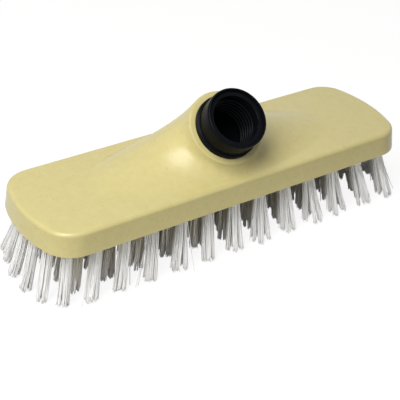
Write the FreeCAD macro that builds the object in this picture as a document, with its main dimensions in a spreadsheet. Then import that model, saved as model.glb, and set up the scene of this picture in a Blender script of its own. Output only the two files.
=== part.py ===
import FreeCAD, Part
import math
import os

import Sketcher

# Scrub brush head: a moulded block with a flared boss, a threaded handle socket set in the boss,
# and fanned bristle tufts, each folded over a flat wire anchor at the bottom of its blind hole.
# Millimetres and degrees. X runs along the block, the socket leans towards -Y, +Z is up,
# and the origin lies on the plane of the bristle tips, under the middle of the block.

# Name in the sheet, value, what it measures
SIZES = (
    ("bristle_length", 31.8, "underside of the block to the trimmed tips"),
    ("block_length", 220, "block along X, over the bowed ends"),
    ("block_width", 66.2, "block across Y, at the underside"),
    ("block_thickness", 12, "flat board, underside to top"),
    ("end_bow_radius", 72.5, "bow of the two short ends, in plan"),
    ("corner_radius", 16.5, "plan corners"),
    ("wall_draft", 1.6, "how far the side walls draw in from the underside to the top"),
    ("top_edge_radius", 2.2, "rounded upper edge"),
    ("flare_length", 150, "foot of the boss along X"),
    ("flare_width", 57, "foot of the boss across Y"),
    ("flare_power", 2.45, "how fast the flare draws in"),
    ("rise_power", 1.08, "how gently the flare leaves the board"),
    ("rim_radius", 20.1, "outside of the boss rim"),
    ("rim_round", 1.1, "rounded outer edge of the rim"),
    ("rim_forward", 10.4, "middle of the rim in front of the middle of the block"),
    ("rim_height", 18.9, "middle of the rim above the board"),
    ("socket_tilt", 41.9, "socket axis from the vertical"),
    ("socket_radius", 16.8, "outside of the socket"),
    ("socket_reach", 15.1, "crest of the socket's lip beyond the rim"),
    ("collar_reach", 3.6, "collar of the socket beyond the rim"),
    ("collar_bevel", 0.6, "sloping shoulder of the collar, along the axis"),
    ("neck_depth", 1.1, "neck between the collar and the lip"),
    ("lip_inset", 0.8, "lip radius under the collar radius"),
    ("lip_height", 3.8, "lip along the axis"),
    ("lip_bevel", 0.9, "bevelled outer edge of the lip"),
    ("mouth_radius", 14.3, "inside of the mouth, at its shoulder"),
    ("mouth_depth", 2.1, "shoulder of the mouth below the lip's crest"),
    ("thread_radius", 12.2, "wall of the threaded bore"),
    ("socket_floor", 2.6, "closed bottom of the socket"),
    ("seat_floor", 1.6, "plastic between the socket seat and the deepest tuft hole"),
    ("tuft_rows", 6, "rows along X"),
    ("tuft_columns", 13, "tufts in a row"),
    ("side_margin", 11.1, "outer row to the long side"),
    ("end_margin", 6.3, "end tuft to the end, on the middle line"),
    ("end_row_bow", 8, "outer rows shorter at each end than the middle line"),
    ("hole_radius", 3, "tuft hole, over its corners"),
    ("hole_depth", 8.6, "tuft hole along its axis"),
    ("end_lean_angle", 14.3, "outward lean of the end tufts along X"),
    ("side_lean_angle", 9.4, "outward lean of the outer rows across Y"),
    ("tip_gap", 1, "between neighbouring tufts of a cross row, at their tips"),
    ("clump_gap", 1.6, "between the two clumps of a tuft, at their tips"),
    ("anchor_thickness", 0.45, "anchor wire across the tuft"),
    ("anchor_height", 1.8, "anchor wire along the hole"),
    ("fold_height", 1.1, "folded filaments between the anchor and the bottom of the hole"),
    ("fit_clearance", 0.05, "between a piece and the hole that it sits in"),
)

FLARE_SECTIONS = 12
FLARE_SPACING = 0.8
RIM_STEPS = 2
TUFT_SIDES = 6
ON_AXIS = "0"

TOP = "(Sizes.bristle_length + Sizes.block_thickness)"
SEAT_RADIUS = "(Sizes.socket_radius + Sizes.fit_clearance)"
# The lowest edge of the slanted seat stays above the deepest tuft hole.
SEAT_DEPTH = (
    "((Sizes.block_thickness + Sizes.rim_height - Sizes.hole_depth - Sizes.seat_floor"
    f" - {SEAT_RADIUS} * sin(Sizes.socket_tilt)) / cos(Sizes.socket_tilt))"
)

ACROSS_X = FreeCAD.Vector(1, 0, 0)
UPWARD = FreeCAD.Vector(0, 0, 1)


def make_sheet(doc):
    """The driving sizes, one aliased cell each."""
    sheet = doc.addObject("Spreadsheet::Sheet", "Sizes")
    for row, (alias, value, note) in enumerate(SIZES, start=1):
        sheet.set(f"A{row}", note)
        sheet.set(f"B{row}", str(value))
        sheet.setAlias(f"B{row}", alias)
    doc.recompute()
    return sheet


def read_sizes(sheet):
    """The sheet's values by name, for the shapes that are worked out here."""
    return {alias: float(sheet.get(alias)) for alias, _, _ in SIZES}


def bind(thing, **expressions):
    """Ties properties of an object to the sheet."""
    for path, expression in expressions.items():
        thing.setExpression(path.replace("__", "."), expression)


def tilt_onto_axis(thing, size, along):
    """Puts an object's Z axis on the socket axis, at a distance beyond the rim plane."""
    thing.Placement = FreeCAD.Placement(FreeCAD.Vector(), FreeCAD.Rotation(ACROSS_X, size["socket_tilt"]))
    bind(
        thing,
        Placement__Base__y=f"-Sizes.rim_forward - ({along}) * sin(Sizes.socket_tilt)",
        Placement__Base__z=f"{TOP} + Sizes.rim_height + ({along}) * cos(Sizes.socket_tilt)",
        Placement__Rotation__Angle="Sizes.socket_tilt * 1 deg",
    )


def sketch_on(body, name, role):
    """An empty sketch on one of the body's own planes."""
    sketch = body.newObject("Sketcher::SketchObject", name)
    plane = next(feature for feature in body.Origin.OriginFeatures if feature.Role == role)
    sketch.AttachmentSupport = [(plane, "")]
    sketch.MapMode = "FlatFace"
    return sketch


def drive(sketch, constraint, name, expression):
    """Adds a constraint whose value comes from the sheet."""
    index = sketch.addConstraint(constraint)
    sketch.renameConstraint(index, name)
    sketch.setExpression(f"Constraints.{name}", expression)


def block_outline(sketch, size):
    """Plan of the block: straight long sides, bowed ends and tangent corner arcs."""
    half_length = size["block_length"] / 2
    half_width = size["block_width"] / 2
    bow = size["end_bow_radius"]
    corner = size["corner_radius"]
    bow_x = half_length - bow
    corner_y = half_width - corner
    corner_x = bow_x + math.sqrt((bow - corner) ** 2 - corner_y ** 2)
    meet = math.atan2(corner_y, corner_x - bow_x)

    def arc(x, y, radius, start, end):
        return Part.ArcOfCircle(Part.Circle(FreeCAD.Vector(x, y, 0), UPWARD, radius), start, end)

    def side(start_x, y, end_x):
        return Part.LineSegment(FreeCAD.Vector(start_x, y, 0), FreeCAD.Vector(end_x, y, 0))

    # Counter-clockwise from the right end: each piece ends where the next one starts.
    half_turn = math.pi
    quarter = half_turn / 2
    pieces = {
        "right_bow": arc(bow_x, 0, bow, -meet, meet),
        "right_back": arc(corner_x, corner_y, corner, meet, quarter),
        "back_side": side(corner_x, half_width, -corner_x),
        "left_back": arc(-corner_x, corner_y, corner, quarter, half_turn - meet),
        "left_bow": arc(-bow_x, 0, bow, half_turn - meet, half_turn + meet),
        "left_front": arc(-corner_x, -corner_y, corner, half_turn + meet, half_turn + quarter),
        "front_side": side(-corner_x, -half_width, corner_x),
        "right_front": arc(corner_x, -corner_y, corner, -quarter, -meet),
    }
    index = {name: sketch.addGeometry(piece, False) for name, piece in pieces.items()}
    start, end, centre = 1, 2, 3
    root_point = (-1, 1)
    x_axis = -1
    order = list(index.values())
    for piece, following in zip(order, order[1:] + order[:1]):
        sketch.addConstraint(Sketcher.Constraint("Tangent", piece, end, following, start))
    right_bow, left_bow = index["right_bow"], index["left_bow"]
    back_side, front_side = index["back_side"], index["front_side"]
    sketch.addConstraint(Sketcher.Constraint("PointOnObject", right_bow, centre, x_axis))
    sketch.addConstraint(Sketcher.Constraint("PointOnObject", left_bow, centre, x_axis))
    sketch.addConstraint(Sketcher.Constraint("Equal", right_bow, left_bow))
    for name in ("left_back", "left_front", "right_front"):
        sketch.addConstraint(Sketcher.Constraint("Equal", index["right_back"], index[name]))
    sketch.addConstraint(Sketcher.Constraint("Horizontal", back_side))
    sketch.addConstraint(Sketcher.Constraint("Horizontal", front_side))
    bow_middle = "Sizes.block_length / 2 - Sizes.end_bow_radius"
    right_middle = Sketcher.Constraint("DistanceX", *root_point, right_bow, centre, bow_x)
    left_middle = Sketcher.Constraint("DistanceX", left_bow, centre, *root_point, bow_x)
    back_half = Sketcher.Constraint("DistanceY", *root_point, back_side, start, half_width)
    front_half = Sketcher.Constraint("DistanceY", front_side, start, *root_point, half_width)
    drive(sketch, Sketcher.Constraint("Radius", right_bow, bow), "bow", "Sizes.end_bow_radius")
    drive(sketch, Sketcher.Constraint("Radius", index["right_back"], corner), "corner", "Sizes.corner_radius")
    drive(sketch, right_middle, "right_middle", bow_middle)
    drive(sketch, left_middle, "left_middle", bow_middle)
    drive(sketch, back_half, "back_half", "Sizes.block_width / 2")
    drive(sketch, front_half, "front_half", "Sizes.block_width / 2")


def edges_at(shape, height):
    """Names of the edges that lie flat at a height."""
    level = 1e-4
    names = []
    for index, edge in enumerate(shape.Edges, start=1):
        box = edge.BoundBox
        if abs(box.ZMin - height) < level and abs(box.ZMax - height) < level:
            names.append(f"Edge{index}")
    return names


def make_board(doc, size):
    """The flat board with its drafted walls and rounded top edge, before the boss and the holes."""
    body = doc.addObject("PartDesign::Body", "Board")
    sketch = sketch_on(body, "BoardOutline", "XY_Plane")
    bind(sketch, AttachmentOffset__Base__z="Sizes.bristle_length")
    block_outline(sketch, size)
    pad = body.newObject("PartDesign::Pad", "BoardPad")
    pad.Profile = sketch
    bind(
        pad,
        Length="Sizes.block_thickness",
        TaperAngle="-atan(Sizes.wall_draft / Sizes.block_thickness)",
    )
    doc.recompute()
    upper = body.newObject("PartDesign::Fillet", "UpperEdge")
    upper.Base = (pad, edges_at(pad.Shape, size["bristle_length"] + size["block_thickness"]))
    bind(upper, Radius="Sizes.top_edge_radius")
    body.Tip = upper
    return body


def oval(half_x, half_y):
    """A closed oval about the origin that starts on the X axis, whichever way it is longer."""
    turned = math.pi / 2 if half_y > half_x else 0
    curve = Part.Ellipse(FreeCAD.Vector(), max(half_x, half_y), min(half_x, half_y))
    wire = Part.Wire([Part.ArcOfEllipse(curve, -turned, 2 * math.pi - turned).toShape()])
    wire.rotate(FreeCAD.Vector(), UPWARD, math.degrees(turned))
    return wire


def flare_section(doc, size, step):
    """One oval of the boss: step 0 is its foot on the board, step 1 is the rim.

    The planes of the sections fan out from the line where the rim plane meets the board.
    """
    tilt = math.radians(size["socket_tilt"])
    rim_radius = size["rim_radius"]
    rim_distance = size["rim_height"] / math.sin(tilt)
    fan_y = -size["rim_forward"] - size["rim_height"] / math.tan(tilt)
    half_foot = size["flare_width"] / 2
    draw_in = (1 - step) ** size["flare_power"]
    turn = tilt * step ** size["rise_power"]
    rim_front, rim_back = rim_distance - rim_radius, rim_distance + rim_radius
    front = rim_front + (-half_foot - fan_y - rim_front) * (1 - step)
    back = rim_back + (half_foot - fan_y - rim_back) * draw_in
    half_x = rim_radius + (size["flare_length"] / 2 - rim_radius) * draw_in
    middle = (front + back) / 2
    top = size["bristle_length"] + size["block_thickness"]
    centre = FreeCAD.Vector(0, fan_y + middle * math.cos(turn), top + middle * math.sin(turn))
    section = doc.addObject("Part::Feature", "FlareSection")
    section.Shape = oval(half_x, (back - front) / 2)
    section.Placement = FreeCAD.Placement(centre, FreeCAD.Rotation(ACROSS_X, math.degrees(turn)))
    return section


def make_flare(doc, size):
    """The flared boss, lofted in short bands from a long foot on the board to the tilted round rim."""
    last = FLARE_SECTIONS - 1
    # Narrower steps near the foot, where the sections change fastest.
    steps = [1 - (1 - index / last) ** FLARE_SPACING for index in range(FLARE_SECTIONS)]
    flare = doc.addObject("Part::Loft", "Flare")
    flare.Sections = [flare_section(doc, size, step) for step in steps]
    flare.Solid = True
    flare.Ruled = True
    return flare


def profile(sketch, corners):
    """A closed outline through corners given as expressions, each tied to the sheet.

    It starts as a regular polygon, and its constraints move each corner to its place.
    """
    root_point = (-1, 1)
    v_axis = -2
    start, end = 1, 2
    count = len(corners)
    points = [FreeCAD.Rotation(UPWARD, 360 * index / count).multVec(ACROSS_X) for index in range(count)]
    for index, point in enumerate(points):
        sketch.addGeometry(Part.LineSegment(point, points[(index + 1) % count]), False)
    for index in range(count):
        sketch.addConstraint(Sketcher.Constraint("Coincident", index, end, (index + 1) % count, start))
    for index, (point, (x, y)) in enumerate(zip(points, corners)):
        height = Sketcher.Constraint("DistanceY", *root_point, index, start, point.y)
        drive(sketch, height, f"height{index}", y)
        if x == ON_AXIS:
            sketch.addConstraint(Sketcher.Constraint("PointOnObject", index, start, v_axis))
        else:
            radius = Sketcher.Constraint("DistanceX", *root_point, index, start, point.x)
            drive(sketch, radius, f"radius{index}", x)


def make_turned(doc, size, name, corners):
    """A piece turned about the socket axis, with heights counted from the rim plane."""
    body = doc.addObject("PartDesign::Body", name)
    sketch = sketch_on(body, f"{name}Profile", "XZ_Plane")
    profile(sketch, corners)
    turned = body.newObject("PartDesign::Revolution", f"{name}Turned")
    turned.Profile = sketch
    turned.ReferenceAxis = (sketch, ["V_Axis"])
    turned.Angle = 360
    body.Tip = turned
    tilt_onto_axis(body, size, "0")
    return body


def make_rim(doc, size):
    """The end of the boss, with an outer edge that follows a quarter circle in short steps."""
    angles = [math.pi / 2 * index / RIM_STEPS for index in range(RIM_STEPS + 1)]
    edge = [
        (
            f"Sizes.rim_radius - Sizes.rim_round * {1 - math.cos(angle):.6f}",
            f"Sizes.rim_round * {math.sin(angle):.6f}",
        )
        for angle in angles
    ]
    return make_turned(doc, size, "Rim", [(ON_AXIS, "0"), *edge, (ON_AXIS, "Sizes.rim_round")])


def make_seat(doc, size):
    """The round seat that the socket sits in, cut down the socket axis."""
    seat = doc.addObject("Part::Cylinder", "SocketSeat")
    bind(seat, Radius=SEAT_RADIUS, Height=f"{SEAT_DEPTH} + Sizes.socket_reach")
    tilt_onto_axis(seat, size, f"-{SEAT_DEPTH}")
    return seat


def make_block(doc, size, holes):
    """Board and boss as one moulding, with the socket seat and the tuft holes cut in it."""
    moulding = doc.addObject("Part::MultiFuse", "Moulding")
    moulding.Shapes = [make_board(doc, size), make_flare(doc, size), make_rim(doc, size)]
    seated = doc.addObject("Part::Cut", "SeatedMoulding")
    seated.Base = moulding
    seated.Tool = make_seat(doc, size)
    block = doc.addObject("Part::Cut", "Block")
    block.Base = seated
    block.Tool = holes
    block.Label = "brush_block"
    return block


def make_socket(doc, size):
    """The threaded socket: a turned shell with a collar, a neck and a crested lip round its mouth."""
    outer = "Sizes.socket_radius"
    lip = "(Sizes.socket_radius - Sizes.lip_inset)"
    neck = "(Sizes.socket_radius - Sizes.neck_depth)"
    bottom = f"(Sizes.fit_clearance - {SEAT_DEPTH})"
    crest = "Sizes.socket_reach"
    lip_foot = f"({crest} - Sizes.lip_height)"
    mouth = f"({crest} - Sizes.mouth_depth)"
    corners = (
        (outer, bottom),
        (outer, "Sizes.collar_reach - Sizes.collar_bevel"),
        (neck, "Sizes.collar_reach"),
        (neck, lip_foot),
        (lip, lip_foot),
        (lip, f"{crest} - Sizes.lip_bevel"),
        (f"{lip} - Sizes.lip_bevel", crest),
        ("Sizes.mouth_radius", mouth),
        ("Sizes.thread_radius", mouth),
        ("Sizes.thread_radius", f"{bottom} + Sizes.socket_floor"),
        (ON_AXIS, f"{bottom} + Sizes.socket_floor"),
        (ON_AXIS, bottom),
    )
    socket = make_turned(doc, size, "Socket", corners)
    socket.Label = "handle_socket"
    return socket


def meet_floor(upper, lower):
    """Where the line through two points meets the plane of the tips."""
    return upper + (lower - upper) * (upper.z / (upper.z - lower.z))


def flat_face(corners):
    return Part.Face(Part.makePolygon([*corners, corners[0]]))


def flat_sides(upper, lower):
    """Flat faces between two rings that have as many corners each."""
    following = [*range(1, len(upper)), 0]
    return [flat_face([upper[i], upper[j], lower[j], lower[i]]) for i, j in enumerate(following)]


def closed_solid(faces):
    return Part.Solid(Part.Shell(faces))


class Tufting:
    """Where each tuft leaves the block and where its tips end, and the shapes that belong to it."""

    def __init__(self, size):
        self.size = size
        self.rows = round(size["tuft_rows"])
        self.columns = round(size["tuft_columns"])
        self.reach_x = size["block_length"] / 2 - size["end_margin"]
        self.reach_y = size["block_width"] / 2 - size["side_margin"]

    def root(self, column, row):
        """Middle of the tuft on the underside. Rows follow the bowed ends."""
        size = self.size
        across = 2 * row / (self.rows - 1) - 1
        along = 2 * column / (self.columns - 1) - 1
        reach = self.reach_x - size["end_row_bow"] * across ** 2
        return FreeCAD.Vector(along * reach, across * self.reach_y, size["bristle_length"])

    def tip(self, root):
        """Middle of the trimmed tips. The lean grows with the distance from the middle of the block."""
        size = self.size
        lean_x = math.tan(math.radians(size["end_lean_angle"])) * root.x / self.reach_x
        lean_y = math.tan(math.radians(size["side_lean_angle"])) * root.y / self.reach_y
        return root + FreeCAD.Vector(lean_x, lean_y, -1) * size["bristle_length"]

    def tip_radius(self):
        """Neighbours in a cross row almost meet at their tips."""
        outer_tip = self.tip(FreeCAD.Vector(0, self.reach_y, self.size["bristle_length"]))
        spacing = 2 * outer_tip.y / (self.rows - 1)
        return (spacing - self.size["tip_gap"]) / 2

    def frame(self, root):
        """Placement at the root with Z up along the tuft, into its hole."""
        return FreeCAD.Placement(root, FreeCAD.Rotation(UPWARD, root - self.tip(root)))

    def ring(self, root, radius, height):
        """Corners of a regular polygon across the tuft, at a height along its axis."""
        frame = self.frame(root)
        corners = []
        for index in range(TUFT_SIDES):
            angle = 2 * math.pi * (index + 0.5) / TUFT_SIDES
            corner = FreeCAD.Vector(radius * math.cos(angle), radius * math.sin(angle), height)
            corners.append(frame.multVec(corner))
        return corners

    def hole(self, root):
        """The drill for one hole. It starts a little below the underside."""
        radius = self.size["hole_radius"]
        bottom = self.ring(root, radius, self.size["hole_depth"])
        start = self.ring(root, radius, -radius)
        return closed_solid([flat_face(bottom), flat_face(start), *flat_sides(bottom, start)])

    def bar(self, root, length, grow):
        """The anchor wire across the hole, grown all round by a clearance for its slot."""
        size = self.size
        thickness = size["anchor_thickness"] + 2 * grow
        height = size["anchor_height"] + 2 * grow
        lower_edge = size["hole_depth"] - size["fold_height"] - size["anchor_height"] - grow
        corner = FreeCAD.Vector(-length / 2, -thickness / 2, lower_edge)
        wire = Part.makeBox(length, thickness, height, corner)
        wire.Placement = self.frame(root)
        return wire

    def anchor(self, root):
        """Flat wire from wall to wall of its hole."""
        size = self.size
        half_flat = size["hole_radius"] * math.cos(math.pi / TUFT_SIDES)
        return self.bar(root, 2 * (half_flat - size["fit_clearance"]), 0)

    def clumps(self, root, neck, split):
        """Faces of the two clumps that part below the neck, each on half of the neck's hexagon.

        They part along a line between opposite corners. At its tips a clump draws back towards its
        outer side, which opens the gap between the two.
        """
        half = TUFT_SIDES // 2
        spread = self.tip_radius()
        draw_back = self.size["clump_gap"] / (2 * spread * math.sin(math.pi / half))
        untrimmed = self.ring(root, spread, -(root - self.tip(root)).Length)
        faces = []
        for first in (split, split + half):
            around = [(first + index) % TUFT_SIDES for index in range(half + 1)]
            upper = [neck[index] for index in around]
            ends = [untrimmed[index] for index in around]
            outer_side = (ends[1] + ends[2]) * 0.5
            drawn = [corner + (outer_side - corner) * draw_back for corner in ends]
            lower = [meet_floor(high, low) for high, low in zip(upper, drawn)]
            faces += [flat_face(lower), *flat_sides(upper, lower)]
        return faces

    def tuft(self, root, split):
        """A folded bundle: snug in its hole, round the anchor, then parting and flaring to its tips."""
        size = self.size
        snug = size["hole_radius"] - size["fit_clearance"]
        fold = self.ring(root, snug, size["hole_depth"] - size["fit_clearance"])
        neck = self.ring(root, snug, 0)
        hole_width = 2 * size["hole_radius"]
        slot = self.bar(root, 2 * hole_width, size["fit_clearance"])
        bundle = closed_solid([flat_face(fold), *flat_sides(fold, neck), *self.clumps(root, neck, split)])
        return bundle.cut(slot)

    def column_roots(self, column):
        return [self.root(column, row) for row in range(self.rows)]

    def holes(self, doc):
        drills = doc.addObject("Part::Feature", "TuftHoles")
        shapes = [self.hole(root) for column in range(self.columns) for root in self.column_roots(column)]
        drills.Shape = Part.makeCompound(shapes)
        return drills

    def column_tufts(self, column):
        """Tufts of one cross row. The line that a tuft parts along turns from each to the next."""
        splits = [(column + 2 * row) % (TUFT_SIDES // 2) for row in range(self.rows)]
        return [self.tuft(root, split) for root, split in zip(self.column_roots(column), splits)]

    def column_anchors(self, column):
        return [self.anchor(root) for root in self.column_roots(column)]

    def column_feature(self, doc, kind, solids, column):
        """One cross row of tufts or anchors, as separate solids in one sub-part."""
        feature = doc.addObject("Part::Feature", f"{kind}{column + 1}")
        feature.Shape = Part.makeCompound(solids)
        feature.Label = f"{kind}_row_{column + 1:02d}"
        return feature

    def pieces(self, doc):
        columns = range(self.columns)
        tufts = [self.column_feature(doc, "tuft", self.column_tufts(column), column) for column in columns]
        anchors = [self.column_feature(doc, "anchor", self.column_anchors(column), column) for column in columns]
        return tufts + anchors


def check(doc, subparts):
    """Stops before anything is written if an object failed or a sub-part has no sound shape."""
    for thing in doc.Objects:
        if "Invalid" in thing.State or "Error" in thing.State:
            raise RuntimeError(f"{thing.Name} failed: {thing.State}")
    for subpart in subparts:
        if subpart.Shape.isNull() or not subpart.Shape.isValid() or not subpart.Shape.Solids:
            raise RuntimeError(f"{subpart.Label} has no valid solid")


def main():
    doc = FreeCAD.newDocument("ScrubBrush")
    size = read_sizes(make_sheet(doc))
    tufting = Tufting(size)
    block = make_block(doc, size, tufting.holes(doc))
    socket = make_socket(doc, size)
    subparts = [block, socket, *tufting.pieces(doc)]
    doc.recompute()
    check(doc, subparts)
    os.makedirs("parts", exist_ok=True)
    for subpart in subparts:
        subpart.Shape.exportStep(f"parts/{subpart.Label}.step")
        print(subpart.Label, len(subpart.Shape.Solids), round(subpart.Shape.Volume, 1))


main()
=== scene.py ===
import math
import random

import bmesh
import bpy
import numpy as np
from mathutils import Matrix, Vector


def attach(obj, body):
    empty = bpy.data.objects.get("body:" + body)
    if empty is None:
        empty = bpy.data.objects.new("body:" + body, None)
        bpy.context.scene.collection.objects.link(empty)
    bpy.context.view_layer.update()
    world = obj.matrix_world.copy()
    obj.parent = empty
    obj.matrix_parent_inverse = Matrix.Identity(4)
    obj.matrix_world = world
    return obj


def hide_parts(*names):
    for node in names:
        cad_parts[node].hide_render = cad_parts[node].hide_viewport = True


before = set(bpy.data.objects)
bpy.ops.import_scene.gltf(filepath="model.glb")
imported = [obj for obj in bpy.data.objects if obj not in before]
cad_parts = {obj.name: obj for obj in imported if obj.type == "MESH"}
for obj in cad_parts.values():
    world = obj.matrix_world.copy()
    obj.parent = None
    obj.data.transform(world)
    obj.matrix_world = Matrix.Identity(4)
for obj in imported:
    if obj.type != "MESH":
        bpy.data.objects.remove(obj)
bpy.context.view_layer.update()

# Sizes of the brush, in metres, as the solids have them
UNDERSIDE = 0.0318
TUFT_COLUMNS = 13
TUFT_ROWS = 6
COLUMN_REACH = 0.1037
COLUMN_BOW = 0.008
ROW_REACH = 0.022
END_LEAN = math.tan(math.radians(14.3))
SIDE_LEAN = math.tan(math.radians(9.4))
RIM_CENTRE = Vector((0.0, -0.0104, 0.0627))
SOCKET_TILT = math.radians(41.9)
SOCKET_AXIS = Vector((0.0, -math.sin(SOCKET_TILT), math.cos(SOCKET_TILT)))
BORE_RADIUS = 0.0122

# Vertices this close are joined, and bends flatter than these are shaded smooth
JOIN_DISTANCE = 0.000002
BLOCK_BEND = math.radians(28.0)
SOCKET_BEND = math.radians(30.0)
THREAD_BEND = math.radians(35.0)
FILAMENT_BEND = math.radians(80.0)

# Edges of the socket's lip and bore that are softened: radius, and height over the rim along the axis
LIP_EDGES = ((0.0160, 0.0142), (0.0151, 0.0151), (BORE_RADIUS, 0.0130))
LIP_ROUNDING = 0.0005
LIP_SEGMENTS = 3
RING_TOLERANCE = 0.00004

# The thread's ridge: its root, its crest and depth as shares of that, and its middle's way in from the wall
THREAD_ROOT = 0.0009
THREAD_CREST = 0.35
THREAD_DEPTH = 0.74
THREAD_INWARD = 0.00012
THREAD_CORNERS = 4

# How the ridge winds up from below the rim, and sinks and narrows over some steps at both ends
THREAD_LOW = -0.0086
THREAD_TURNS = 7
THREAD_PITCH = 0.00255
THREAD_STEPS = 40
THREAD_RUN_OUT = 26
THREAD_SUNK = 0.00006
THREAD_NARROWED = 0.4

# One bristle filament: its section, its rings and cut end as shares of its length, and its seat in the block
FILAMENT_RADIUS = 0.00023
FILAMENT_SIDES = 5
FILAMENT_RINGS = (0.15, 0.32, 0.52, 0.76)
FILAMENT_CUT = 0.99
FILAMENT_DRAWN_IN = 0.7
FILAMENT_CURVE = 0.2
SEATED_LENGTH = 0.0054
MOUTH_REACH = 0.00245

# A tuft: filaments spread like seeds on a disc, parted along one of three lines and gathered in strands
TUFT_SEED = 4100
FILAMENTS_PER_TUFT = 125
GOLDEN_ANGLE = math.pi * (3.0 - math.sqrt(5.0))
PARTING_LINES = 3
PARTING_STEP = 60.0
PARTING_FIRST = 2
PARTING = 0.05
PARTING_GROWTH = 25.0
GATHERED = 0.26
GATHERED_GROWTH = 50.0
STRAND_TURNS = (-52.0, 0.0, 52.0)
STRAND_WANDER = 0.22
STRAND_REACH = (0.52, 0.74)
STRAND_PULL = 0.16
STRAND_SHORT = 0.0019
STRAND_DRIFT = 0.00025
STRAND_SHADE = 0.3

# What sets one filament apart from the next in its strand
FILAMENT_WANDER = 0.2
SPLAYED_SHARE = 0.02
SPLAYED_REACH = (1.15, 1.5)
TRIMMED_SHORT = 0.00055
WORN_SHARE = 0.08
WORN_SHORT = (0.0006, 0.0024)
TIP_DRIFT = 0.00018
FILAMENT_BOW = 0.00025
FILAMENT_SHADE = 0.7

# How wide the worn tufts stand at their tips, and how far each one's tip has been bent along and across
FRONT_SPREAD = (
    0.0033, 0.0032, 0.0032, 0.0035, 0.0047, 0.0040, 0.0049, 0.0061, 0.0064, 0.0063, 0.0059, 0.0056, 0.0048,
)
FRONT_BENT = (
    (0.0022, 0.0020),
    (-0.0012, -0.0020),
    (-0.0025, -0.0014),
    (-0.0024, -0.0018),
    (-0.0024, -0.0018),
    (-0.0022, -0.0025),
    (-0.0025, -0.0025),
    (-0.0018, -0.0015),
    (-0.0008, -0.0001),
    (-0.0012, -0.0010),
    (-0.0012, -0.0009),
    (0.0004, -0.0015),
    (-0.0008, -0.0012),
)
END_SPREAD = 0.0031
END_BENT = ((0.0012, -0.0004), (0.0009, 0.0001), (0.0015, 0.0025), (0.0011, 0.0030))
USUAL_SPREAD = (0.0040, 0.0053)
USUAL_BENT = 0.0005

# Single filaments of the front row that stand away from their tufts: column, how far along and how far back
STRAYS = (
    (1, -0.0060, -0.0015),
    (2, 0.0065, 0.0010),
    (3, -0.0075, -0.0010),
    (3, -0.0093, -0.0018),
    (4, 0.0060, -0.0055),
    (12, 0.0085, 0.0015),
)
STRAY_SHORT = 0.0006
STRAY_SEAT = 0.9
STRAY_SHADE = 0.2

# The floor, just under the longest tips
FLOOR_SIZE = 8.0
FLOOR_LEVEL = -0.0002

# The view of the photograph, about a point on the block's underside
VIEW_POINT = Vector((0.0, 0.0, UNDERSIDE))
VIEW_AZIMUTH = math.radians(-35.88153)
VIEW_ELEVATION = math.radians(33.48205)
VIEW_ROLL = math.radians(3.48994)
VIEW_DISTANCE = 0.567486
VIEW_ASIDE = -0.005191
VIEW_ABOVE = -0.015280
LENS = 97.528
SENSOR = 36.0


# Handling of pieces
def deselect():
    """Nothing stays selected, so that the next operator meets only its own piece."""
    for piece in bpy.context.selected_objects:
        piece.select_set(False)


def pick_vertices(piece, wanted):
    """In edit mode, selects the vertices whose place answers the question."""
    shape = bmesh.from_edit_mesh(piece.data)
    for face in shape.faces:
        face.select_set(False)
    for edge in shape.edges:
        edge.select_set(False)
    for vertex in shape.verts:
        vertex.select_set(bool(wanted(vertex.co)))
    shape.select_flush(True)
    bmesh.update_edit_mesh(piece.data)


def settle(piece):
    """Puts the piece's place into its mesh and leaves its object at the origin."""
    deselect()
    piece.select_set(True)
    bpy.context.view_layer.objects.active = piece
    bpy.ops.object.transform_apply(location=True, rotation=True, scale=True)


def dress(piece, material):
    """Gives the piece one material."""
    piece.data.materials.clear()
    piece.data.materials.append(material)


# Nodes that the materials are put together from
def set_inputs(node, values):
    """Sets the named inputs of a node."""
    for name, value in values.items():
        node.inputs[name].default_value = value


def remap(nodes, links, value, ends):
    """A value carried from one range to another."""
    node = nodes.new("ShaderNodeMapRange")
    set_inputs(node, ends)
    links.new(value, node.inputs["Value"])
    return node.outputs["Result"]


def combine(nodes, links, operation, one, other):
    """Two values made one by arithmetic."""
    node = nodes.new("ShaderNodeMath")
    node.operation = operation
    links.new(one, node.inputs[0])
    links.new(other, node.inputs[1])
    return node.outputs["Value"]


def blend(nodes, links, share, under, over):
    """One colour laid over another, by a share that changes over the surface."""
    node = nodes.new("ShaderNodeMix")
    node.data_type = "RGBA"
    links.new(share, node.inputs["Factor"])
    links.new(under, node.inputs["A"])
    if isinstance(over, tuple):
        node.inputs["B"].default_value = over
    else:
        links.new(over, node.inputs["B"])
    return node.outputs["Result"]


def raise_grain(nodes, links, surface, height, strength, depth):
    """Lets a pattern of heights tilt the surface's shading."""
    bump = nodes.new("ShaderNodeBump")
    set_inputs(bump, {"Strength": strength, "Distance": depth})
    links.new(height, bump.inputs["Height"])
    links.new(bump.outputs["Normal"], surface.inputs["Normal"])


def new_material(name):
    """A material, with its nodes, its links and its surface shader."""
    material = bpy.data.materials.new(name)
    material.use_nodes = True
    nodes = material.node_tree.nodes
    return material, nodes, material.node_tree.links, nodes["Principled BSDF"]


def new_group(name, inputs, outputs):
    """An empty node group with named sockets, and the nodes at its two ends."""
    group = bpy.data.node_groups.new(name, "ShaderNodeTree")
    for socket_name, kind in inputs.items():
        group.interface.new_socket(name=socket_name, in_out="INPUT", socket_type=kind)
    for socket_name, kind in outputs.items():
        group.interface.new_socket(name=socket_name, in_out="OUTPUT", socket_type=kind)
    return group, group.nodes.new("NodeGroupInput"), group.nodes.new("NodeGroupOutput")


def place_group(nodes, links, group, values):
    """A shared effect on the piece's own coordinates, with this material's values."""
    place = nodes.new("ShaderNodeTexCoord")
    shared = nodes.new("ShaderNodeGroup")
    shared.node_tree = group
    set_inputs(shared, values)
    links.new(place.outputs["Object"], shared.inputs["Vector"])
    return shared


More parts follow.
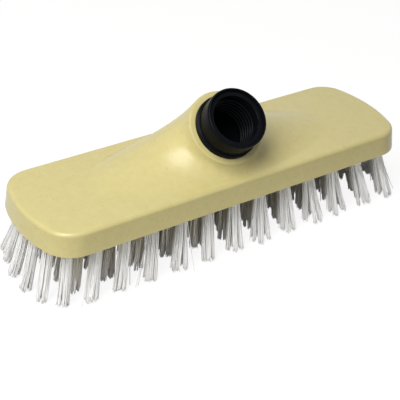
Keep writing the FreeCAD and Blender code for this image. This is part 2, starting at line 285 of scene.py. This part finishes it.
# Skin that the mouldings share
SKIN_INPUTS = {
    "Vector": "NodeSocketVector",
    "Colour": "NodeSocketColor",
    "Mottle Colour": "NodeSocketColor",
    "Mottle Scale": "NodeSocketFloat",
    "Speck Colour": "NodeSocketColor",
    "Speck Scale": "NodeSocketFloat",
    "Grain Scale": "NodeSocketFloat",
    "Smoothest": "NodeSocketFloat",
    "Roughest": "NodeSocketFloat",
}
SKIN_OUTPUTS = {"Colour": "NodeSocketColor", "Roughness": "NodeSocketFloat", "Height": "NodeSocketFloat"}


def mottled_colour(nodes, links, given):
    """The plain colour, softly mottled with a second one."""
    mottle = nodes.new("ShaderNodeTexNoise")
    set_inputs(mottle, {"Detail": 4.0, "Roughness": 0.6})
    links.new(given.outputs["Vector"], mottle.inputs["Vector"])
    links.new(given.outputs["Mottle Scale"], mottle.inputs["Scale"])
    share = remap(nodes, links, mottle.outputs["Fac"], {"From Min": 0.35, "From Max": 0.68})
    return blend(nodes, links, share, given.outputs["Colour"], given.outputs["Mottle Colour"])


def specked_colour(nodes, links, given):
    """The mottled colour with small specks in some of its cells."""
    cells = nodes.new("ShaderNodeTexVoronoi")
    links.new(given.outputs["Vector"], cells.inputs["Vector"])
    links.new(given.outputs["Speck Scale"], cells.inputs["Scale"])
    dot_ends = {"From Min": 0.13, "From Max": 0.28, "To Min": 1.0, "To Max": 0.0}
    dots = remap(nodes, links, cells.outputs["Distance"], dot_ends)
    few = remap(nodes, links, cells.outputs["Color"], {"From Min": 0.62, "From Max": 1.0})
    specks = combine(nodes, links, "MULTIPLY", dots, few)
    return blend(nodes, links, specks, mottled_colour(nodes, links, given), given.outputs["Speck Colour"])


def moulded_skin():
    """Soft mottling and specks, a satin that varies and the fine grain of a moulded plastic face."""
    group, given, result = new_group("moulded_skin", SKIN_INPUTS, SKIN_OUTPUTS)
    nodes, links = group.nodes, group.links
    links.new(specked_colour(nodes, links, given), result.inputs["Colour"])
    grain = nodes.new("ShaderNodeTexNoise")
    set_inputs(grain, {"Detail": 2.0})
    links.new(given.outputs["Vector"], grain.inputs["Vector"])
    links.new(given.outputs["Grain Scale"], grain.inputs["Scale"])
    links.new(grain.outputs["Fac"], result.inputs["Height"])
    satin = nodes.new("ShaderNodeMix")
    satin.data_type = "FLOAT"
    links.new(grain.outputs["Fac"], satin.inputs["Factor"])
    links.new(given.outputs["Smoothest"], satin.inputs["A"])
    links.new(given.outputs["Roughest"], satin.inputs["B"])
    links.new(satin.outputs["Result"], result.inputs["Roughness"])
    return group


def moulded_plastic(name, skin, look, grain_depth, shine):
    """A moulded plastic with the shared skin, its own look, depth of grain and shine."""
    material, nodes, links, surface = new_material(name)
    set_inputs(surface, {"Specular IOR Level": shine})
    shared = place_group(nodes, links, skin, look)
    links.new(shared.outputs["Colour"], surface.inputs["Base Color"])
    links.new(shared.outputs["Roughness"], surface.inputs["Roughness"])
    raise_grain(nodes, links, surface, shared.outputs["Height"], strength=0.35, depth=grain_depth)
    return material


# Lines that the drawn filaments and wires share
LINES_INPUTS = {"Vector": "NodeSocketVector", "Stretch": "NodeSocketVector", "Line Scale": "NodeSocketFloat"}
LINES_OUTPUTS = {"Lines": "NodeSocketFloat"}


def drawn_lines():
    """Fine lines along a drawn filament or wire."""
    group, given, result = new_group("drawn_lines", LINES_INPUTS, LINES_OUTPUTS)
    nodes, links = group.nodes, group.links
    stretched = nodes.new("ShaderNodeMapping")
    links.new(given.outputs["Vector"], stretched.inputs["Vector"])
    links.new(given.outputs["Stretch"], stretched.inputs["Scale"])
    lines = nodes.new("ShaderNodeTexNoise")
    links.new(stretched.outputs["Vector"], lines.inputs["Vector"])
    links.new(given.outputs["Line Scale"], lines.inputs["Scale"])
    links.new(lines.outputs["Fac"], result.inputs["Lines"])
    return group


def filament_value(nodes, name):
    """A value that each filament's vertices carry."""
    carried = nodes.new("ShaderNodeAttribute")
    carried.attribute_name = name
    return carried.outputs["Fac"]


def bristle_colour(nodes, links):
    """White, a little different on each filament, with a painted shade of warm grey deep in the brush on the
    inner tufts, and darker grey at the cut ends.
    """
    # Painted shade: warm grey on the inner tufts, strongest at the roots and gone towards the tips
    painted_shade_colour = (0.6, 0.55, 0.43, 1.0)
    cut_colour = (0.42, 0.41, 0.39, 1.0)
    tone = nodes.new("ShaderNodeValToRGB")
    tone.color_ramp.elements[0].color = (0.88, 0.875, 0.86, 1.0)
    tone.color_ramp.elements[1].position = 0.3
    tone.color_ramp.elements[1].color = (0.98, 0.981, 0.985, 1.0)
    links.new(filament_value(nodes, "shade"), tone.inputs["Fac"])
    along = filament_value(nodes, "along")
    fade = remap(nodes, links, along, {"From Min": 0.5, "From Max": 0.95, "To Min": 1.0, "To Max": 0.25})
    painted_shade = combine(nodes, links, "MULTIPLY", fade, filament_value(nodes, "sheltered"))
    shaded_tone = blend(nodes, links, painted_shade, tone.outputs["Color"], painted_shade_colour)
    # Darker grey towards the cut ends
    cut = remap(nodes, links, along, {"From Min": 0.955, "From Max": 1.0, "To Max": 0.55})
    return blend(nodes, links, cut, shaded_tone, cut_colour)


def bristle_plastic(lines):
    """White drawn filament with a soft sheen."""
    material, nodes, links, surface = new_material("bristle_filament")
    set_inputs(surface, {"Roughness": 0.42, "Sheen Weight": 0.9, "Sheen Roughness": 0.55})
    links.new(bristle_colour(nodes, links), surface.inputs["Base Color"])
    shared = place_group(nodes, links, lines, {"Stretch": (1.0, 1.0, 0.12), "Line Scale": 3000.0})
    raise_grain(nodes, links, surface, shared.outputs["Lines"], strength=0.2, depth=0.00005)
    return material


def anchor_wire(lines):
    """Drawn flat steel wire with fine lines along it."""
    material, nodes, links, surface = new_material("anchor_wire")
    set_inputs(surface, {"Metallic": 1.0})
    shared = place_group(nodes, links, lines, {"Stretch": (0.1, 1.0, 1.0), "Line Scale": 4000.0})
    tone = nodes.new("ShaderNodeValToRGB")
    tone.color_ramp.elements[0].color = (0.42, 0.42, 0.41, 1.0)
    tone.color_ramp.elements[1].color = (0.66, 0.66, 0.64, 1.0)
    links.new(shared.outputs["Lines"], tone.inputs["Fac"])
    links.new(tone.outputs["Color"], surface.inputs["Base Color"])
    dull = remap(nodes, links, shared.outputs["Lines"], {"To Min": 0.3, "To Max": 0.5})
    links.new(dull, surface.inputs["Roughness"])
    return material


skin = moulded_skin()
CREAM = moulded_plastic(
    "cream_block",
    skin,
    {
        "Colour": (0.65, 0.576, 0.254, 1.0),
        "Mottle Colour": (0.62, 0.542, 0.23, 1.0),
        "Mottle Scale": 240.0,
        "Speck Colour": (0.5, 0.42, 0.17, 1.0),
        "Speck Scale": 560.0,
        "Grain Scale": 1500.0,
        "Smoothest": 0.24,
        "Roughest": 0.35,
    },
    grain_depth=0.0001,
    shine=0.5,
)
BLACK = moulded_plastic(
    "black_socket",
    skin,
    {
        "Colour": (0.0034, 0.004, 0.0056, 1.0),
        "Mottle Colour": (0.0046, 0.0053, 0.0072, 1.0),
        "Mottle Scale": 150.0,
        "Speck Colour": (0.008, 0.008, 0.009, 1.0),
        "Speck Scale": 900.0,
        "Grain Scale": 2200.0,
        "Smoothest": 0.2,
        "Roughest": 0.3,
    },
    grain_depth=0.00004,
    shine=0.04,
)
lines = drawn_lines()
BRISTLE = bristle_plastic(lines)
STEEL = anchor_wire(lines)

for column in range(1, TUFT_COLUMNS + 1):
    dress(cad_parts[f"anchor_row_{column:02d}"], STEEL)


def joined_copy(node, name):
    """A copy of a solid with its loose triangles joined, left open for shaping."""
    deselect()
    piece = bpy.data.objects.new(name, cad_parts[node].data.copy())
    bpy.context.collection.objects.link(piece)
    piece.select_set(True)
    bpy.context.view_layer.objects.active = piece
    bpy.ops.object.mode_set(mode="EDIT")
    bpy.ops.mesh.select_all(action="SELECT")
    bpy.ops.mesh.remove_doubles(threshold=JOIN_DISTANCE)
    bpy.ops.mesh.customdata_custom_splitnormals_clear()
    return piece


# The block, as one skin with soft bends
def smooth_block():
    """The block with joined faces, so that light runs evenly over the flare."""
    block = joined_copy("brush_block", "block_moulding")
    bpy.ops.object.mode_set(mode="OBJECT")
    bpy.ops.object.shade_smooth_by_angle(angle=BLOCK_BEND)
    even = block.modifiers.new("even", "WEIGHTED_NORMAL")
    even.keep_sharp = True
    bpy.ops.object.modifier_apply(modifier=even.name)
    return block


block = smooth_block()
dress(block, CREAM)
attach(block, "root")
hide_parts("brush_block")


# The socket, with the soft edges of a moulding
def on_ring(co, ring):
    """Whether a vertex lies on a circle round the socket's axis, given by radius and height."""
    reach = co - RIM_CENTRE
    height = reach.dot(SOCKET_AXIS)
    radius = (reach - SOCKET_AXIS * height).length
    return abs(radius - ring[0]) < RING_TOLERANCE and abs(height - ring[1]) < RING_TOLERANCE


def shape_socket():
    """The socket with the edges of its lip and bore softened."""
    socket = joined_copy("handle_socket", "socket_moulding")
    bpy.ops.mesh.tris_convert_to_quads()
    for ring in LIP_EDGES:
        pick_vertices(socket, lambda co: on_ring(co, ring))
        bpy.ops.mesh.bevel(offset=LIP_ROUNDING, segments=LIP_SEGMENTS, affect="EDGES")
    bpy.ops.object.mode_set(mode="OBJECT")
    bpy.ops.object.shade_smooth_by_angle(angle=SOCKET_BEND)
    return socket


socket = shape_socket()
dress(socket, BLACK)
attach(socket, "root")
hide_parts("handle_socket")


# Thread inside the socket
def run_out(thread):
    """Lets the ridge sink into the wall at both ends."""
    vertices = thread.data.vertices
    last = len(vertices) // THREAD_CORNERS - 1
    sunk_wall = BORE_RADIUS + THREAD_SUNK
    for step in range(last + 1):
        rise = min(1.0, step / THREAD_RUN_OUT, (last - step) / THREAD_RUN_OUT)
        width = THREAD_NARROWED + (1.0 - THREAD_NARROWED) * rise
        corners = [vertices[step * THREAD_CORNERS + corner] for corner in range(THREAD_CORNERS)]
        level = sum(corner.co.z for corner in corners) / THREAD_CORNERS
        for corner in corners:
            reach = math.hypot(corner.co.x, corner.co.y)
            sunk = sunk_wall + (reach - sunk_wall) * rise
            corner.co.x *= sunk / reach
            corner.co.y *= sunk / reach
            corner.co.z = level + (corner.co.z - level) * width


def thread_section():
    """The ridge's outline where it starts: four corners, wide in the wall and narrow at the crest."""
    deselect()
    start = (BORE_RADIUS - THREAD_INWARD, 0.0, THREAD_LOW)
    bpy.ops.mesh.primitive_plane_add(size=THREAD_ROOT, location=start)
    section = bpy.context.object
    bpy.ops.object.mode_set(mode="EDIT")
    bpy.ops.mesh.select_all(action="SELECT")
    bpy.ops.transform.rotate(value=math.pi / 2, orient_axis="X", center_override=section.location)
    pick_vertices(section, lambda co: co.x < 0.0)
    bpy.ops.transform.resize(value=(1.0, 1.0, THREAD_CREST), center_override=section.location)
    bpy.ops.mesh.select_all(action="SELECT")
    bpy.ops.transform.resize(value=(THREAD_DEPTH, 1.0, 1.0), center_override=section.location)
    bpy.ops.mesh.delete(type="ONLY_FACE")
    bpy.ops.object.mode_set(mode="OBJECT")
    settle(section)
    return section


def model_thread():
    """A ridge that winds up the socket's wall, rooted just inside the wall."""
    thread = thread_section()
    thread.name = "socket_thread"
    wind = thread.modifiers.new("wind", "SCREW")
    wind.axis = "Z"
    wind.screw_offset = THREAD_PITCH
    wind.iterations = THREAD_TURNS
    wind.steps = THREAD_STEPS
    wind.render_steps = THREAD_STEPS
    wind.use_merge_vertices = True
    wind.merge_threshold = JOIN_DISTANCE
    bpy.ops.object.modifier_apply(modifier=wind.name)
    run_out(thread)
    bpy.ops.object.mode_set(mode="EDIT")
    bpy.ops.mesh.select_all(action="SELECT")
    bpy.ops.mesh.fill_holes(sides=0)
    bpy.ops.mesh.select_all(action="SELECT")
    bpy.ops.mesh.normals_make_consistent(inside=False)
    bpy.ops.object.mode_set(mode="OBJECT")
    thread.location = RIM_CENTRE
    thread.rotation_euler = (SOCKET_TILT, 0.0, 0.0)
    settle(thread)
    bpy.ops.object.shade_smooth_by_angle(angle=THREAD_BEND)
    return thread


thread = model_thread()
dress(thread, BLACK)
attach(thread, "root")


# Bristles
def model_filament():
    """One straight filament a unit long, pointing down, with a slightly drawn-in cut end."""
    deselect()
    bpy.ops.mesh.primitive_cylinder_add(
        vertices=FILAMENT_SIDES,
        radius=FILAMENT_RADIUS,
        depth=1.0,
        end_fill_type="NGON",
        location=(0.0, 0.0, -0.5),
    )
    filament = bpy.context.object
    filament.name = "filament"
    settle(filament)
    bpy.ops.object.mode_set(mode="EDIT")
    for ring in FILAMENT_RINGS:
        bpy.ops.mesh.select_all(action="SELECT")
        bpy.ops.mesh.bisect(plane_co=(0.0, 0.0, -ring), plane_no=(0.0, 0.0, 1.0))
    pick_vertices(filament, lambda co: co.z < -FILAMENT_CUT)
    bpy.ops.transform.resize(
        value=(FILAMENT_DRAWN_IN, FILAMENT_DRAWN_IN, 1.0),
        center_override=(0.0, 0.0, -1.0),
    )
    bpy.ops.object.mode_set(mode="OBJECT")
    bpy.ops.object.shade_smooth_by_angle(angle=FILAMENT_BEND)
    filament.data.attributes.new("shade", "FLOAT", "POINT")
    filament.data.attributes.new("sheltered", "FLOAT", "POINT")
    along = filament.data.attributes.new("along", "FLOAT", "POINT")
    along.data.foreach_set("value", [-vertex.co.z for vertex in filament.data.vertices])
    return filament


def tuft_root(column, row):
    """Where a tuft leaves the block's underside."""
    across = 2.0 * row / (TUFT_ROWS - 1) - 1.0
    along = 2.0 * column / (TUFT_COLUMNS - 1) - 1.0
    return along * (COLUMN_REACH - COLUMN_BOW * across**2), across * ROW_REACH


def tuft_lean(root):
    """How far a tuft's tip stands out from its root."""
    return UNDERSIDE * END_LEAN * root[0] / COLUMN_REACH, UNDERSIDE * SIDE_LEAN * root[1] / ROW_REACH


def tuft_habit(rng, column, row):
    """A tuft's own width at the tips, and how far use has bent it aside."""
    spread = rng.uniform(*USUAL_SPREAD)
    bent = (rng.gauss(0.0, USUAL_BENT), rng.gauss(0.0, USUAL_BENT))
    if row == 0:
        return FRONT_SPREAD[column], FRONT_BENT[column]
    if column == 0 and row <= len(END_BENT):
        return END_SPREAD, END_BENT[row - 1]
    return spread, bent


def part_tuft(rng, column, row, spread):
    """The strands that a tuft parts in: two halves to the sides of one line, three strands in each."""
    side = math.radians(PARTING_STEP * ((column + 2 * row) % PARTING_LINES + PARTING_FIRST))
    gathered = GATHERED + GATHERED_GROWTH * (spread - END_SPREAD)
    parting = PARTING + PARTING_GROWTH * (spread - END_SPREAD)
    strands = []
    for half in range(2):
        outward = side + math.pi * half
        for turn in STRAND_TURNS:
            angle = outward + math.radians(turn) + rng.uniform(-STRAND_WANDER, STRAND_WANDER)
            reach = rng.uniform(*STRAND_REACH)
            strands.append(
                {
                    "outward": (math.cos(outward) * parting, math.sin(outward) * parting),
                    "x": reach * math.cos(angle),
                    "y": reach * math.sin(angle),
                    "pull": gathered + rng.uniform(0.0, STRAND_PULL),
                    "short": rng.uniform(0.0, STRAND_SHORT),
                    "drift": (rng.gauss(0.0, STRAND_DRIFT), rng.gauss(0.0, STRAND_DRIFT)),
                    "shade": rng.uniform(0.0, STRAND_SHADE),
                }
            )
    return strands


def lay_strays(column, root, tip_place):
    """The single filaments that stand away from a tuft of the front row."""
    laid = []
    for stray_column, aside, back in STRAYS:
        if stray_column == column:
            mouth = (root[0] + math.copysign(MOUTH_REACH * STRAY_SEAT, aside), root[1])
            tip = (tip_place[0] + aside, tip_place[1] + back, STRAY_SHORT)
            laid.append((mouth, tip, (0.0, 0.0), STRAY_SHADE))
    return laid


def lay_tuft(rng, column, row):
    """The filaments of one tuft: where each leaves the hole, where it ends, its bow and its shade."""
    root = tuft_root(column, row)
    lean = tuft_lean(root)
    spread, bent = tuft_habit(rng, column, row)
    tip_place = (root[0] + lean[0] + bent[0], root[1] + lean[1] + bent[1])
    strands = part_tuft(rng, column, row, spread)
    turn = rng.uniform(0.0, math.tau)
    laid = []
    for index in range(FILAMENTS_PER_TUFT):
        reach = math.sqrt((index + 0.5) / FILAMENTS_PER_TUFT)
        angle = turn + index * GOLDEN_ANGLE + rng.uniform(-FILAMENT_WANDER, FILAMENT_WANDER)
        x, y = reach * math.cos(angle), reach * math.sin(angle)
        strand = min(strands, key=lambda one: (one["x"] - x) ** 2 + (one["y"] - y) ** 2)
        tip_x = x + (strand["x"] - x) * strand["pull"] + strand["outward"][0]
        tip_y = y + (strand["y"] - y) * strand["pull"] + strand["outward"][1]
        reach_out = spread
        if rng.random() < SPLAYED_SHARE:
            reach_out *= rng.uniform(*SPLAYED_REACH)
        short = strand["short"] + abs(rng.gauss(0.0, TRIMMED_SHORT))
        if rng.random() < WORN_SHARE:
            short += rng.uniform(*WORN_SHORT)
        tip = (
            tip_place[0] + tip_x * reach_out + strand["drift"][0] + rng.gauss(0.0, TIP_DRIFT),
            tip_place[1] + tip_y * reach_out + strand["drift"][1] + rng.gauss(0.0, TIP_DRIFT),
            short,
        )
        mouth = (root[0] + x * MOUTH_REACH, root[1] + y * MOUTH_REACH)
        bow = (rng.gauss(0.0, FILAMENT_BOW), rng.gauss(0.0, FILAMENT_BOW))
        laid.append((mouth, tip, bow, strand["shade"] + rng.random() * FILAMENT_SHADE))
    if row == 0:
        laid += lay_strays(column, root, tip_place)
    return laid


def filament_shape(unit, mouth, tip, bow):
    """The unit filament's vertices, carried from the hole through the mouth to the tip."""
    length = UNDERSIDE + SEATED_LENGTH
    seated = SEATED_LENGTH / length
    share = -unit[:, 2]
    free = np.clip((share - seated) / (1.0 - seated), 0.0, 1.0)
    held = np.clip(share / seated, 0.0, 1.0)
    swing = 4.0 * free * (1.0 - free)
    ease = free * (1.0 - FILAMENT_CURVE + FILAMENT_CURVE * free)
    shape = np.empty_like(unit)
    shape[:, 0] = unit[:, 0] + mouth[0] + (tip[0] - mouth[0]) * ease + bow[0] * swing
    shape[:, 1] = unit[:, 1] + mouth[1] + (tip[1] - mouth[1]) * ease + bow[1] * swing
    shape[:, 2] = UNDERSIDE + SEATED_LENGTH * (1.0 - held) - (UNDERSIDE - tip[2]) * free
    return shape


def bristle_row(filament, unit, column):
    """The six tufts of one cross row, as copies of the filament, joined to one piece."""
    rng = random.Random(TUFT_SEED + column)
    copies = []
    for row in range(TUFT_ROWS):
        outer = row in (0, TUFT_ROWS - 1) or column in (0, TUFT_COLUMNS - 1)
        # Inner tufts carry the painted shade deep in the brush; the outer ring of tufts has none
        sheltered = 0.0 if outer else 1.0
        for mouth, tip, bow, shade in lay_tuft(rng, column, row):
            mesh = filament.data.copy()
            mesh.vertices.foreach_set("co", filament_shape(unit, mouth, tip, bow).ravel())
            mesh.attributes["shade"].data.foreach_set("value", [shade] * len(mesh.vertices))
            mesh.attributes["sheltered"].data.foreach_set("value", [sheltered] * len(mesh.vertices))
            copy = bpy.data.objects.new("strand", mesh)
            bpy.context.collection.objects.link(copy)
            copies.append(copy)
    deselect()
    for copy in copies:
        copy.select_set(True)
    bpy.context.view_layer.objects.active = copies[0]
    bpy.ops.object.join()
    piece = copies[0]
    piece.name = f"bristles_{column + 1:02d}"
    return piece


filament = model_filament()
unit = np.empty(len(filament.data.vertices) * 3, dtype=np.float32)
filament.data.vertices.foreach_get("co", unit)
unit = unit.reshape(-1, 3)
for column in range(TUFT_COLUMNS):
    bristles = bristle_row(filament, unit, column)
    dress(bristles, BRISTLE)
    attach(bristles, "root")
    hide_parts(f"tuft_row_{column + 1:02d}")
bpy.data.objects.remove(filament)


# Floor, light and camera
def seen_directly(nodes, links):
    """1 for rays that show the background to the camera, straight or by gloss or glass."""
    path = nodes.new("ShaderNodeLightPath")
    gloss = combine(nodes, links, "MAXIMUM", path.outputs["Is Camera Ray"], path.outputs["Is Glossy Ray"])
    return combine(nodes, links, "MAXIMUM", gloss, path.outputs["Is Transmission Ray"])


def choose_by_eye(nodes, links, unseen, seen):
    """One shader for light that only bounces, another where it is seen."""
    choose = nodes.new("ShaderNodeMixShader")
    links.new(seen_directly(nodes, links), choose.inputs["Fac"])
    links.new(unseen, choose.inputs[1])
    links.new(seen, choose.inputs[2])
    return choose.outputs["Shader"]


def lay_floor():
    """A wide pale floor under the bristle tips, white to the eye with a faint shadow."""
    deselect()
    bpy.ops.mesh.primitive_plane_add(size=FLOOR_SIZE, location=(0.0, 0.0, FLOOR_LEVEL))
    floor = bpy.context.object
    floor.name = "floor"
    settle(floor)
    material, nodes, links, surface = new_material("pale_floor")
    nodes.remove(surface)
    plain = nodes.new("ShaderNodeBsdfDiffuse")
    set_inputs(plain, {"Color": (0.6, 0.6, 0.59, 1.0)})
    faint = nodes.new("ShaderNodeBsdfDiffuse")
    set_inputs(faint, {"Color": (0.16, 0.16, 0.16, 1.0)})
    glow = nodes.new("ShaderNodeEmission")
    set_inputs(glow, {"Strength": 0.9})
    white = nodes.new("ShaderNodeAddShader")
    links.new(faint.outputs["BSDF"], white.inputs[0])
    links.new(glow.outputs["Emission"], white.inputs[1])
    chosen = choose_by_eye(nodes, links, plain.outputs["BSDF"], white.outputs["Shader"])
    links.new(chosen, nodes["Material Output"].inputs["Surface"])
    dress(floor, material)


def light_room():
    """Even pale light all round, white where it is seen."""
    world = bpy.data.worlds.new("studio")
    bpy.context.scene.world = world
    world.use_nodes = True
    nodes, links = world.node_tree.nodes, world.node_tree.links
    fill = nodes["Background"]
    set_inputs(fill, {"Color": (1.0, 0.99, 0.97, 1.0), "Strength": 0.1})
    white = nodes.new("ShaderNodeBackground")
    set_inputs(white, {"Color": (1.0, 1.0, 1.0, 1.0)})
    chosen = choose_by_eye(nodes, links, fill.outputs["Background"], white.outputs["Background"])
    links.new(chosen, nodes["World Output"].inputs["Surface"])


def hang_lamp(name, place, aim, size, power, colour, spread=180.0):
    """A soft box lamp at a place, turned to what it lights, its light kept within a spread in degrees."""
    bpy.ops.object.light_add(type="AREA", location=place)
    lamp = bpy.context.object
    lamp.name = name
    lamp.data.shape = "RECTANGLE"
    lamp.data.size = size[0]
    lamp.data.size_y = size[1]
    lamp.data.energy = power
    lamp.data.color = colour
    lamp.data.spread = math.radians(spread)
    lamp.rotation_euler = (Vector(aim) - Vector(place)).to_track_quat("-Z", "Y").to_euler()


def set_camera():
    """The photograph's viewing angle."""
    back = Vector(
        (
            math.sin(VIEW_AZIMUTH) * math.cos(VIEW_ELEVATION),
            -math.cos(VIEW_AZIMUTH) * math.cos(VIEW_ELEVATION),
            math.sin(VIEW_ELEVATION),
        )
    )
    level = Vector((math.cos(VIEW_AZIMUTH), math.sin(VIEW_AZIMUTH), 0.0))
    upright = back.cross(level)
    right = level * math.cos(VIEW_ROLL) + upright * math.sin(VIEW_ROLL)
    up = upright * math.cos(VIEW_ROLL) - level * math.sin(VIEW_ROLL)
    place = VIEW_POINT + back * VIEW_DISTANCE + right * VIEW_ASIDE + up * VIEW_ABOVE
    bpy.ops.object.camera_add(location=place)
    camera = bpy.context.object
    camera.name = "view"
    camera.rotation_euler = Matrix((right, up, back)).transposed().to_euler()
    camera.data.lens = LENS
    camera.data.sensor_width = SENSOR
    camera.data.sensor_fit = "HORIZONTAL"
    bpy.context.scene.camera = camera


lay_floor()
light_room()
hang_lamp(
    "key",
    place=(-0.37, -0.15, 0.66),
    aim=(-0.02, 0.0, 0.03),
    size=(0.4, 0.7),
    power=6.5,
    colour=(1.0, 0.985, 0.96),
)
hang_lamp(
    "low_strip",
    place=(0.0, -0.5, 0.013),
    aim=(0.1, -0.03, 0.013),
    size=(0.41, 0.024),
    power=0.008,
    colour=(1.0, 1.0, 1.0),
    spread=6.0,
)
set_camera()
bpy.context.scene.view_settings.view_transform = "Standard"
